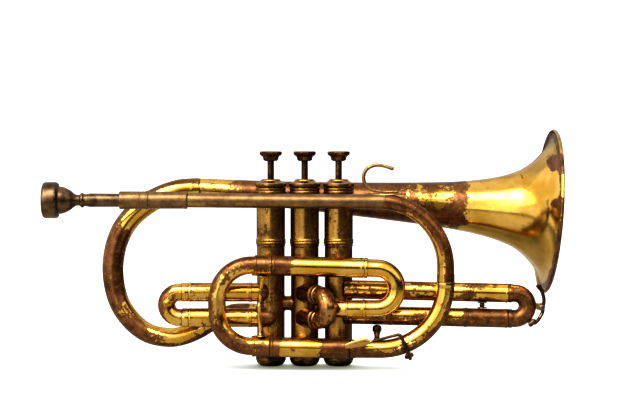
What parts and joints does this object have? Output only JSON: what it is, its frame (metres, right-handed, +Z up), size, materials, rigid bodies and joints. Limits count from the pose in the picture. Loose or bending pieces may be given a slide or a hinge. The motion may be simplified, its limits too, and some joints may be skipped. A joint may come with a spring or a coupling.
{
  "type": "valved cornet",
  "caption": "Compact valved brass instrument with a conical bell, piston valves, pull-out tuning slides and spring water keys.",
  "frame": {"origin": "centre of the middle valve's bottom cap, on the surface that the three caps stand on", "axes": "+X from the valves towards the bell, +Y to the player's left, +Z up along the valves"},
  "size_m": [0.37, 0.1274, 0.1697],
  "materials": {
    "lacquered_brass": "worn gloss lacquer",
    "tarnished_brass": "brown tarnish, matte",
    "dark_bronze": "dark patina",
    "spring_steel": "drawn wire",
    "piston_nickel": "lapped nickel plate",
    "cork": "cork"
  },
  "bodies": {
    "horn": {"casing_1": "lacquered_brass", "valve_guide_1": "dark_bronze", "top_cap_1": "tarnished_brass", "bottom_cap_1": "tarnished_brass", "casing_2": "lacquered_brass", "valve_guide_2": "dark_bronze", "top_cap_2": "tarnished_brass", "bottom_cap_2": "tarnished_brass", "casing_3": "lacquered_brass", "valve_guide_3": "dark_bronze", "top_cap_3": "tarnished_brass", "bottom_cap_3": "tarnished_brass", "crossover_12": "tarnished_brass", "crossover_23": "tarnished_brass", "main_sleeve_upper": "lacquered_brass", "main_sleeve_lower": "lacquered_brass", "first_sleeve_upper": "lacquered_brass", "first_sleeve_lower": "lacquered_brass", "second_sleeve_upper": "tarnished_brass", "second_sleeve_lower": "tarnished_brass", "third_sleeve_upper": "lacquered_brass", "third_sleeve_lower": "lacquered_brass", "receiver": "tarnished_brass", "leadpipe": "tarnished_brass", "right_bow": "lacquered_brass", "crook": "lacquered_brass", "third_brace": "dark_bronze", "bell": "lacquered_brass", "bell_bow": "lacquered_brass", "bell_brace": "dark_bronze", "leadpipe_brace": "dark_bronze", "slide_post": "dark_bronze", "finger_hook": "dark_bronze", "key_saddle_1": "dark_bronze", "key_pin_1": "spring_steel"},
    "valve_1": {"piston_1": "piston_nickel", "stem_1": "dark_bronze", "finger_button_1": "dark_bronze", "valve_spring_1": "spring_steel"},
    "valve_2": {"piston_2": "piston_nickel", "stem_2": "dark_bronze", "finger_button_2": "dark_bronze", "valve_spring_2": "spring_steel"},
    "valve_3": {"piston_3": "piston_nickel", "stem_3": "dark_bronze", "finger_button_3": "dark_bronze", "valve_spring_3": "spring_steel"},
    "tuning_slide": {"tuning_bow": "lacquered_brass", "tuning_brace": "lacquered_brass"},
    "first_slide": {"first_bow": "lacquered_brass"},
    "second_slide": {"second_bow": "tarnished_brass", "second_pull_knob": "dark_bronze"},
    "third_slide": {"third_bow": "lacquered_brass", "key_saddle_2": "dark_bronze", "key_pin_2": "spring_steel"},
    "key_1": {"water_key_1": "dark_bronze", "key_cork_1": "cork"},
    "key_2": {"water_key_2": "dark_bronze", "key_cork_2": "cork"},
    "mouthpiece": {"mouthpiece": "dark_bronze"}
  },
  "joints": [
    {"name": "valve_1_press", "type": "slide", "parent": "horn", "child": "valve_1", "axis": [0, 0, -1], "range_m": [0, 0.0126], "stiffness_N_per_m": 120, "springref_m": -0.018, "deforming": ["valve_spring_1"]},
    {"name": "valve_2_press", "type": "slide", "parent": "horn", "child": "valve_2", "axis": [0, 0, -1], "range_m": [0, 0.0126], "stiffness_N_per_m": 120, "springref_m": -0.018, "deforming": ["valve_spring_2"]},
    {"name": "valve_3_press", "type": "slide", "parent": "horn", "child": "valve_3", "axis": [0, 0, -1], "range_m": [0, 0.0126], "stiffness_N_per_m": 120, "springref_m": -0.018, "deforming": ["valve_spring_3"]},
    {"name": "tuning_slide_pull", "type": "slide", "parent": "horn", "child": "tuning_slide", "axis": [-0.9997, 0, 0.0244], "range_m": [0, 0.03]},
    {"name": "first_slide_pull", "type": "slide", "parent": "horn", "child": "first_slide", "axis": [-1, 0, 0], "range_m": [0, 0.028]},
    {"name": "second_slide_pull", "type": "slide", "parent": "horn", "child": "second_slide", "axis": [0.5299, -0.848, 0], "range_m": [0, 0.004]},
    {"name": "third_slide_pull", "type": "slide", "parent": "horn", "child": "third_slide", "axis": [0.9997, 0, -0.0244], "range_m": [0, 0.02]},
    {"name": "mouthpiece_pull", "type": "slide", "parent": "horn", "child": "mouthpiece", "axis": [-1, 0, 0], "range_m": [0, 0.02]},
    {"name": "water_key_1_press", "type": "hinge", "parent": "horn", "child": "key_1", "pos_m": [0.07108, -0.0302, 0.01748], "axis": [-0.9272, 0, -0.3746], "range_deg": [0, 6], "stiffness_Nm_per_rad": 0.01, "springref_deg": -34.38},
    {"name": "water_key_2_press", "type": "hinge", "parent": "third_slide", "child": "key_2", "pos_m": [0.16949, -0.0065, 0.04326], "axis": [0, -1, 0], "range_deg": [0, 12], "stiffness_Nm_per_rad": 0.01, "springref_deg": -34.38}
  ]
}
